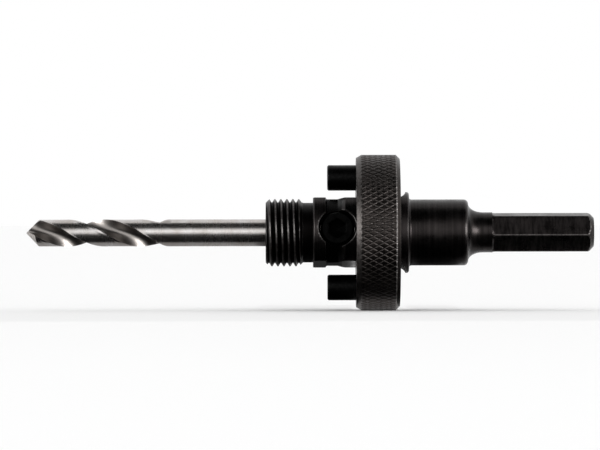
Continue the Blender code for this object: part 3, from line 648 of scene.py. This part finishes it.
def screw_hole_tool(barrel_radius):
    """The cross hole's cutter: a hole for the screw and a wider counterbore, which opens in a
    quarter round at the barrel and follows the barrel's curve."""
    radius = COUNTERBORE
    hole = SCREW_RADIUS + 0.1 * MM
    ease = 0.22 * MM
    turn = once_round(128)
    surface = np.sqrt(barrel_radius ** 2 - (radius * np.sin(turn)) ** 2)
    round_turn = np.radians(np.linspace(0.0, 78.0, 7))[:, None]
    rim = surface - ease * (1 - np.sin(round_turn))
    rim_reach = radius + ease * (1 - np.cos(round_turn))
    steep = 1 / tan(round_turn[-1, 0])
    low = [(1.5 * MM, hole), (barrel_radius - 2.2 * MM, hole), (barrel_radius - 1.9 * MM, radius)]
    height = np.vstack([np.full_like(turn, part[0]) for part in low]
                       + [rim, rim[-1:] + MM * steep, np.full_like(turn, barrel_radius + MM)])
    reach = np.vstack([np.full_like(turn, part[1]) for part in low]
                      + [np.broadcast_to(rim_reach, rim.shape)]
                      + [np.full_like(turn, rim_reach[-1, 0] + MM)] * 2)
    return skin("screw_hole_tool", beside(placed(height, reach, turn), *SCREW_AXIS))


class ARBOR_OT_body(Operator):
    """Make the turned body: threaded nose, barrel with two flats, rim, shank and hex"""

    bl_idname = "arbor.body"
    bl_label = "Body"

    def execute(self, context):
        s = context.scene.arbor_body
        bore, thread, barrel, *rear = body_profile(s)
        barrel = divided(barrel, 0.36 * MM)
        quarter = np.linspace(0.0, pi / 2, 17)[1:]
        runout = np.stack((RIM_FRONT - FLAT_RUNOUT * (1 - np.sin(quarter)),
                           np.full(len(quarter), s.barrel_radius)), -1)
        in_runout = (barrel[:, 0] > RIM_FRONT - FLAT_RUNOUT + SLACK) & (barrel[:, 0] < RIM_FRONT)
        cut = np.argmax(in_runout)
        barrel = np.vstack((barrel[:cut], runout, barrel[cut + in_runout.sum():]))
        rear = divided(np.vstack(rear), 0.35 * MM)
        profile = np.vstack((bore, thread, barrel, rear))
        rows = np.arange(len(profile))
        outside = rows >= len(bore)
        threaded = outside & (rows < len(bore) + len(thread))
        station, radius = profile.T

        past = np.clip(station - (RIM_FRONT - FLAT_RUNOUT), 0.0, FLAT_RUNOUT)
        half_flats = s.barrel_flats / 2 + FLAT_RUNOUT - np.sqrt(FLAT_RUNOUT ** 2 - past ** 2)
        turn = body_turns(station, radius, half_flats, outside)
        reach = np.broadcast_to(radius[:, None], turn.shape).copy()
        reach[threaded] = thread_reach(s, station[threaded, None], turn[threaded])
        flatted = outside & (station > SEAT - SLACK) & (station < RIM_FRONT)
        reach[flatted] = np.minimum(
            reach[flatted], double_flat(turn[flatted], half_flats[flatted, None], FLAT_TURN))
        hexed = (station > HEX_FRONT - SLACK) & (radius > s.neck_radius + SLACK)
        hexed |= station > HEX_FRONT + SLACK
        run_in = np.clip(1 - (station[hexed, None] - HEX_FRONT) / HEX_RUN_IN, 0.0, 1.0) ** 2
        flats = s.hex_flats + (2 * s.neck_radius - s.hex_flats) * run_in
        blunt = s.hex_flats / 2 / cos(pi / 6) - s.hex_blunt
        reach[hexed] = np.minimum(np.minimum(reach[hexed], blunt),
                                  hexagon(turn[hexed], flats, HEX_TURN))

        grid = placed(station[:, None], reach, turn)[1:-1]
        # Painted shade by depth below the crests or the barrel: in the thread and its relief, in the
        # groove and in the bore
        groove = (station > SHADED_GROOVE[0]) & (station < SHADED_GROOVE[1])
        nose = outside & (station < SEAT + SLACK)
        below = np.where(nose, s.thread_radius, s.barrel_radius)[:, None] - reach
        recess_shade = np.clip(below / (0.6 * MM), 0.0, 1.0) * (nose | groove | ~outside)[:, None]
        piece = skin("arbor_body_turned", grid, wear=worn(grid), recess_shade=recess_shade[1:-1], crease=28.0)
        trim(piece, [screw_hole_tool(s.barrel_radius)], 28.0)
        rub_rim(piece, *SCREW_AXIS, COUNTERBORE, s.barrel_radius - 1.8 * MM)
        finish = blackened("blackened_body_steel", tuple(s.oxide), s.roughness, s.wear, HEX_FRONT)
        dress(piece, finish, "arbor", ("arbor_body",))
        return {"FINISHED"}


class ARBOR_OT_collar(Operator):
    """Make the drive collar with its diamond knurl, bore, pin holes and detent hole"""

    bl_idname = "arbor.collar"
    bl_label = "Drive collar"

    def execute(self, context):
        s = context.scene.arbor_collar
        front, rear = COLLAR_FRONT, COLLAR_REAR
        length, depth = FRONT_CHAMFER
        rear_length, rear_depth = REAR_CHAMFER
        above = 0.2 * MM
        outer = [(front, s.bore_radius + 1.5 * MM), (front, s.radius - depth),
                 (front + above * length / depth + length, s.radius + above),
                 (rear - rear_length, s.radius + above), (rear, s.radius - rear_depth),
                 (rear, s.bore_radius + 0.3 * MM)]
        outer = divided(outer, 0.15 * MM)
        band = (outer[:, 1] > s.radius - MM) | (np.arange(len(outer)) % 12 == 0)
        outer = outer[band]
        bore = [(rear, s.bore_radius), (front + BORE_CHAMFER, s.bore_radius),
                (front, s.bore_radius + BORE_CHAMFER)]
        profile = np.vstack((outer, bore))
        station, radius = profile[:, :1], profile[:, 1:]
        columns_per_tooth = 13
        turn = once_round(s.knurl_teeth * columns_per_tooth)

        around = s.knurl_teeth * turn / tau
        along = (station - COLLAR_MIDDLE) / s.knurl_length
        first = (around + along) % 1.0
        second = (around - along) % 1.0
        ridge = 1 - 2 * np.maximum(np.abs(first - 0.5), np.abs(second - 0.5))
        knurl = s.radius - s.knurl_depth * (1 - np.minimum(ridge / s.groove_share, 1.0))
        reach = np.minimum(np.broadcast_to(radius, knurl.shape), knurl)
        inner = np.arange(len(profile)) >= len(outer)
        growth = radius[inner] - s.bore_radius
        reach[inner] = np.minimum(reach[inner], double_flat(turn, s.bore_flats + growth, FLAT_TURN))

        grid = placed(station, reach, turn)
        in_front = station < COLLAR_MIDDLE
        chamfered = (radius < s.radius - 0.02 * MM) & in_front & (radius > s.radius - MM)
        rear_edge = (np.abs(radius - s.radius) < 0.1 * MM) & ~in_front
        light_wear = 0.20
        wear = light_wear * worn(grid)
        wear = np.where(chamfered, np.maximum(wear, light_wear), np.where(rear_edge, 1.0, wear))
        piece = skin("drive_collar_knurled", grid, ring=True, wear=wear, crease=40.0)
        hole = [(front - MM, PIN_RADIUS + 0.1 * MM), (rear + MM, PIN_RADIUS + 0.1 * MM)]
        tools = [turned_along("pin_hole_" + name, hole, 72, placed(0.0, PIN_CIRCLE, pin_turn))
                 for name, pin_turn in PIN_TURNS]
        for_spring, for_plug, ledge = 1.6875 * MM, 2.6 * MM, 15.16 * MM
        hole = [(8.5 * MM, for_spring), (ledge, for_spring), (ledge, for_plug),
                (19.5 * MM, for_plug)]
        tools.append(round_tool("detent_hole_tool", hole, 72, *DETENT_AXIS))
        trim(piece, tools, 40.0)
        finish = blackened("blackened_collar_steel", tuple(s.oxide), s.roughness, s.wear)
        dress(piece, finish, "collar", ("drive_collar",))
        return {"FINISHED"}


class ARBOR_OT_pins(Operator):
    """Make the two drive pins"""

    bl_idname = "arbor.pins"
    bl_label = "Drive pins"

    def execute(self, context):
        s = context.scene.arbor_collar
        finish = blackened("blackened_pin_steel", tuple(s.pin_oxide), s.pin_roughness, 0.05)
        chamfer = 0.3 * MM
        for name, turn in PIN_TURNS:
            low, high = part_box("drive_pin_" + name)
            corners = [(low.x, 0.0), (low.x, PIN_RADIUS - chamfer), (low.x + chamfer, PIN_RADIUS),
                       (high.x - chamfer, PIN_RADIUS), (high.x, PIN_RADIUS - chamfer), (high.x, 0.0)]
            profile = divided(eased(corners, 0.12 * MM), MM)[1:-1]
            piece = turned_along("drive_pin_%s_ground" % name, profile, 96,
                                 placed(0.0, PIN_CIRCLE, turn))
            dress(piece, finish, "collar", ("drive_pin_" + name,))
        return {"FINISHED"}


def socket_screw(name, centre, direction, radius, heights, socket, pitch):
    """A headless screw as one closed surface: a foot, a side whose radius waves along a helix,
    a chamfered top, and a hexagonal socket sunk into it. Its heights are those of its foot
    and top, and its socket is a width and a depth."""
    foot, top = heights
    flats, depth = socket
    chamfer = 0.5 * MM
    thread_depth = 0.30 * pitch
    side = divided([(foot, radius - chamfer), (foot + chamfer, radius), (top - chamfer, radius),
                    (top, radius - chamfer)], pitch / 10)
    wall = [(top, flats * 0.60), (top - 0.15 * MM, flats * 0.55), (top - depth, flats * 0.55)]
    cone = top - depth - 0.25 * flats
    profile = np.vstack(([[foot, 0.3 * radius]], side, wall, [[cone, 0.05 * flats]]))
    height, reach = profile[:, :1], profile[:, 1:]
    turn = once_round(96)
    wave = np.abs((height / pitch + turn / tau) % 1.0 - 0.5) * 2
    grid_reach = np.broadcast_to(reach, wave.shape).copy()
    on_side = (reach[:, 0] > radius - chamfer / 2) & (height[:, 0] < top - chamfer / 2)
    grid_reach[on_side] -= thread_depth * wave[on_side]
    in_socket = np.arange(len(profile)) > len(side) + 1
    in_socket[-1] = False
    grid_reach[in_socket] = np.minimum(hexagon(turn, flats, 0.0), reach[in_socket])
    grid = placed(height, grid_reach, turn)
    return skin(name, beside(grid, centre, direction), wear=worn(grid))


class ARBOR_OT_screws(Operator):
    """Make the pilot drill's set screw and the plug over the detent spring"""

    bl_idname = "arbor.screws"
    bl_label = "Set screw and detent plug"

    def execute(self, context):
        finish = blackened("black_screw_steel", (0.0025,) * 3, roughness=0.5, wear=0.0)
        foot = 2.875 * MM
        screw = socket_screw("pilot_set_screw_threaded", *SCREW_AXIS, radius=SCREW_RADIUS,
                             heights=(foot, foot + 4.8 * MM), socket=(4.0 * MM, 2.4 * MM),
                             pitch=1.25 * MM)
        dress(screw, finish, "set_screw", ("pilot_set_screw",))
        top = 17.65 * MM
        plug = socket_screw("detent_plug_threaded", *DETENT_AXIS, radius=2.5 * MM,
                            heights=(top - 2.38875 * MM, top), socket=(2.0 * MM, 1.31 * MM),
                            pitch=0.8 * MM)
        dress(plug, finish, "collar", ("detent_plug",))
        return {"FINISHED"}


def flute_curve(s, steps):
    """One flute in section, from heel to lip about angle 0: a cubic curve between the two
    corners, pulled in past the web. It is rounder at the heel than at the lip, whose wall
    stays close to the drill's radius."""
    half = (pi - s.land_angle) / 2
    heel = np.array((cos(-half), sin(-half))) * s.radius
    lip = np.array((cos(half), sin(half))) * s.radius
    across = np.array((lip[1], -lip[0])) / s.radius
    heel_pull = np.array((-0.04, -0.26)) * s.radius
    lip_pull = 0.08 * lip - 0.69 * s.web * across
    t = np.linspace(0.0, 1.0, steps + 1)[:, None]
    return (heel * (1 - t) ** 3 + heel_pull * 3 * (1 - t) ** 2 * t
            + lip_pull * 3 * (1 - t) * t ** 2 + lip * t ** 3)


def drill_section(s, station):
    """Both flutes and lands once round, at each station, as radius and angle. At the end of a
    flute its cutter lifts by the square of the way. What of the flute then lies outside the
    drill's radius is held to it, so the flute gets narrower and shallower."""
    flute_steps, land_steps = 72, 48
    flute = flute_curve(s, flute_steps)
    end = TIP + s.flute_length
    out = np.clip((station - end) / s.flute_runout + 1, 0.0, 1.0)[:, None] ** 2
    x, y = flute[:, 0] + (s.radius - s.web) * out, flute[:, 1]
    reach = np.minimum(np.hypot(x, y), s.radius)
    angle = np.arctan2(y, x)
    part = np.linspace(0.0, 1.0, land_steps + 1)[None, 1:-1]
    land = angle[:, -1:] + (pi + angle[:, :1] - angle[:, -1:]) * part
    step_angle = 0.10
    drop = np.clip((part * s.land_angle - s.margin_width / s.radius) / step_angle, 0.0, 1.0)
    reach = np.hstack((reach, s.radius - s.clearance * drop * (1 - out)))
    angle = np.hstack((angle, land))
    return np.hstack((reach, reach)), np.hstack((angle, angle + pi))


def flank_slope(s, past_lip):
    """How far the point lies behind the tip for each metre of radius, at an angle past a
    lip: the point's cone, falling away behind the lip and rising again in the open flute."""
    turned = (past_lip + FLANK_START) % pi
    rising = pi - radians(30.0)
    fall = np.where(turned > rising, rising * (pi - turned) / (pi - rising), turned)
    return 1 / tan(s.point_angle / 2) + fall * tan(s.lip_relief)


class ARBOR_OT_drill(Operator):
    """Make the pilot drill: flutes on a helix, margins, relieved point and screw flat"""

    bl_idname = "arbor.drill"
    bl_label = "Pilot drill"

    def execute(self, context):
        s = context.scene.arbor_drill
        half = (pi - s.land_angle) / 2
        chamfer = 0.5 * MM
        station = np.linspace(TIP - 0.5 * MM, TIP + s.flute_length, 210)
        rear = np.array([DRILL_REAR - chamfer, DRILL_REAR])
        station = np.concatenate((station, np.linspace(station[-1], rear[0], 12)[1:], rear[1:]))
        reach, section = drill_section(s, station)
        reach[-1] -= chamfer
        wound = np.minimum(station, TIP + s.flute_length)[:, None] - TIP
        section += tau * wound / s.helix_lead + FLUTE_TURN
        grid = placed(station[:, None], reach, ROLL - pi / 2 - section)[:, ::-1]
        # Painted shade in the flutes, darker deeper below the lands
        recess_shade = np.clip((s.radius - reach - s.clearance) / (0.5 * MM), 0.0, 1.0)[:, ::-1]
        piece = skin("pilot_drill_ground", grid, wear=worn(grid), recess_shade=recess_shade, crease=24.0)

        wide = s.radius + 0.5 * MM
        past = once_round(288) - FLANK_START
        corner = TIP + s.radius * flank_slope(s, 0.0)
        lip = half + tau * (corner - TIP) / s.helix_lead + FLUTE_TURN
        front = TIP + wide * flank_slope(s, past)
        turn = ROLL - pi / 2 - (lip + past)
        rows = np.linspace(0.0, 1.0, 13)[1:, None]
        stations = np.vstack((TIP + (front - TIP) * rows, np.full_like(front, DRILL_REAR + MM)))
        reaches = np.vstack((wide * rows, [[wide]]))
        blank = placed(stations, reaches, turn)[:, ::-1]
        blank_piece = skin("drill_point_blank", blank)
        blank_piece.data.vertices[blank.shape[0] * blank.shape[1]].co = (TIP, 0.0, 0.0)
        trim(piece, [blank_piece], 24.0, "INTERSECT")

        flat_height, flat_reach = 2.775 * MM, 4.8 * MM
        tool = round_tool("screw_flat_tool", [(flat_height, flat_reach), (4.5 * MM, flat_reach)],
                          64, *SCREW_AXIS)
        trim(piece, [tool], 24.0)
        finish = ground("ground_drill_steel", tuple(s.steel), s.roughness)
        dress(piece, finish, "arbor", ("pilot_drill",))
        return {"FINISHED"}


class ARBOR_OT_detent(Operator):
    """Finish the detent's ball and spring, which sit inside the collar"""

    bl_idname = "arbor.detent"
    bl_label = "Detent ball and spring"

    def execute(self, context):
        for name, base, roughness in (("detent_ball", (0.60, 0.60, 0.62), 0.10),
                                      ("detent_spring", (0.30, 0.30, 0.31), 0.28)):
            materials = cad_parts[name].data.materials
            materials.clear()
            materials.append(ground(name + "_steel", base, roughness))
        return {"FINISHED"}


# Cards on the floor, seen only in reflections, whose greys paint shade into what the round bars
# reflect from below: the span along X, the span along Y and the grey of each. A glowing white card
# in the gap below the collar paints a bright reflection there.
UNDER_COLLAR = (-0.0562, -0.0450)
FRONT_BAND = (-0.009, -0.002)
SHADE_CARDS = (("front_shade", (-0.6, 0.5), (-0.130, -0.009), 0.004),
        ("left_shade", (-0.6, UNDER_COLLAR[0]), FRONT_BAND, 0.004),
        ("right_shade", (UNDER_COLLAR[1], 0.5), FRONT_BAND, 0.004),
        ("drill_shade", (-0.16, -0.079), (-0.002, 0.040), 0.45),
        ("barrel_shade", (-0.079, UNDER_COLLAR[0]), (-0.002, 0.075), 0.09),
        ("shank_shade", (-0.0425, -0.031), (-0.002, 0.075), 0.06))
HOOD_GREY = 0.006
WHITE = (1.0, 1.0, 1.0, 1.0)
COLLAR_CARD_GLOW = 0.42
LAMP_AIM = (-0.06, 0.0, 0.0)


class ARBOR_OT_studio(Operator):
    """Set up the camera, the pale floor and the soft light"""

    bl_idname = "arbor.studio"
    bl_label = "Studio"

    def execute(self, context):
        s = context.scene.arbor_studio
        scene = context.scene
        camera = added("camera", bpy.data.cameras.new("camera"))
        camera.data.lens = s.lens
        camera.data.sensor_width = 36.0
        camera.data.clip_start = 0.01
        camera.data.clip_end = 200.0
        camera.location = (-s.aim, -s.distance, s.rise)
        camera.rotation_euler = (pi / 2, s.tilt, 0.0)
        scene.camera = camera

        floor_level = CAD_BOX[0][2]
        floor = sheet("floor", (-60.0, 60.0), (-3.0, 120.0), floor_level)
        pale = Finish("pale_floor", tuple(s.floor), 0.9, metallic=0.0)
        floor.data.materials.append(pale.material)
        level = floor_level + 0.2 * MM
        # Cards seen only in reflections: the hood darkens the room above and in front, and those on
        # the floor paint shade below the arbor
        cards = [(dark_hood(), HOOD_GREY)]
        cards += [(sheet(name, across, along, level), grey) for name, across, along, grey in SHADE_CARDS]
        for card, grey in cards:
            matt = Finish(card.name + "_card", (grey,) * 3, 1.0, metallic=0.0)
            matt.shader.inputs["Specular IOR Level"].default_value = 0.0
            card.data.materials.append(matt.material)
            reflected_only(card)
        # A glowing white card, seen only in reflections: a painted reflection on the collar's
        # underside
        glow = sheet("collar_card", UNDER_COLLAR, (-0.009, 0.040), level)
        white = Finish("painted_reflection_glow", WHITE[:3], 1.0, metallic=0.0)
        white.shader.inputs["Emission Color"].default_value = WHITE
        white.shader.inputs["Emission Strength"].default_value = COLLAR_CARD_GLOW
        glow.data.materials.append(white.material)
        reflected_only(glow)

        soft_lamp("left_softbox", (-1.02, -0.43, 0.15), (0.55, 0.34), s.left_light)
        soft_lamp("right_softbox", (0.70, -0.64, 0.15), (0.80, 0.34), s.right_light)
        soft_lamp("front_strip", (-0.105, -0.50, 0.12), (0.066, 0.14), s.front_light)
        white_room(scene, s.ambient)
        scene.view_settings.view_transform = "Standard"
        return {"FINISHED"}


def reflected_only(piece):
    """Hides a piece from all rays but reflected ones."""
    for rays in ("camera", "diffuse", "shadow", "transmission"):
        setattr(piece, "visible_" + rays, False)


def open_sheet(name, grid):
    """An open surface over a grid of points."""
    rows, columns = grid.shape[:2]
    index = np.arange(rows * columns).reshape(rows, columns)
    faces = np.stack((index[:-1, :-1], index[1:, :-1], index[1:, 1:], index[:-1, 1:]), -1)
    mesh = bpy.data.meshes.new(name)
    mesh.from_pydata(grid.reshape(-1, 3).tolist(), [], faces.reshape(-1, 4).tolist())
    return added(name, mesh)


def sheet(name, across, along, level):
    """A level rectangle."""
    x, y = np.meshgrid(across, along, indexing="ij")
    return open_sheet(name, np.stack((x, y, np.full_like(x, level)), -1))


def dark_hood():
    """A black card bent round above and in front of the arbor, part of a cylinder about its
    axis. It keeps that part of the white room out of the reflections."""
    lift = np.radians(np.linspace(36.0, 94.0, 25))[None, :]
    station = np.linspace(-0.75, 0.60, 5)[:, None]
    return open_sheet("dark_hood", placed(station, 0.5, lift))


def soft_lamp(name, place, extent, power):
    """A rectangular lamp that faces the middle of the arbor. It is seen in reflections only,
    so the floor keeps its even light."""
    lamp = bpy.data.lights.new(name, "AREA")
    lamp.shape = "RECTANGLE"
    lamp.size, lamp.size_y = extent
    lamp.energy = power
    piece = added(name, lamp)
    piece.location = place
    ahead = Vector(LAMP_AIM) - piece.location
    piece.rotation_euler = ahead.to_track_quat("-Z", "Y").to_euler()
    piece.visible_diffuse = False


def white_room(scene, ambient):
    """A white room: strength 1 to the camera and in reflections, and its own strength as
    light on the floor."""
    world = bpy.data.worlds.new("white_room")
    scene.world = world
    world.use_nodes = True
    tree = world.node_tree
    seen = tree.nodes["Background"]
    seen.inputs["Color"].default_value = WHITE
    lit = node(tree, "Background", {"Color": WHITE, "Strength": ambient})
    rays = node(tree, "LightPath").outputs
    either = rays["Is Camera Ray"]
    for name in ("Is Glossy Ray", "Is Transmission Ray"):
        either = node(tree, "Math", {0: either, 1: rays[name]}, operation="MAXIMUM").outputs[0]
    mix = node(tree, "MixShader", {0: either, 1: lit.outputs[0], 2: seen.outputs[0]})
    tree.links.new(mix.outputs[0], tree.nodes["World Output"].inputs["Surface"])


OPERATORS = (ARBOR_OT_body, ARBOR_OT_collar, ARBOR_OT_pins, ARBOR_OT_screws, ARBOR_OT_drill,
             ARBOR_OT_detent, ARBOR_OT_studio)


class ARBOR_PT_panel(Panel):
    """The arbor's pieces and their settings"""

    bl_idname = "ARBOR_PT_panel"
    bl_label = "Hole saw arbor"
    bl_space_type = "VIEW_3D"
    bl_region_type = "UI"
    bl_category = "Arbor"

    def draw(self, context):
        for group in SETTINGS:
            box = self.layout.box()
            settings = getattr(context.scene, group)
            for name in settings.__annotations__:
                box.prop(settings, name)
        for operator in OPERATORS:
            self.layout.operator(operator.bl_idname)


CLASSES = (*SETTINGS.values(), *OPERATORS, ARBOR_PT_panel)


def register():
    for cls in CLASSES:
        bpy.utils.register_class(cls)
    for name, group in SETTINGS.items():
        setattr(Scene, name, PointerProperty(type=group))


def unregister():
    for name in SETTINGS:
        delattr(Scene, name)
    for cls in reversed(CLASSES):
        bpy.utils.unregister_class(cls)


def main():
    register()
    for step in ("body", "collar", "pins", "screws", "drill", "detent", "studio"):
        getattr(bpy.ops.arbor, step)()
    bpy.context.view_layer.update()


if __name__ == "__main__":
    main()
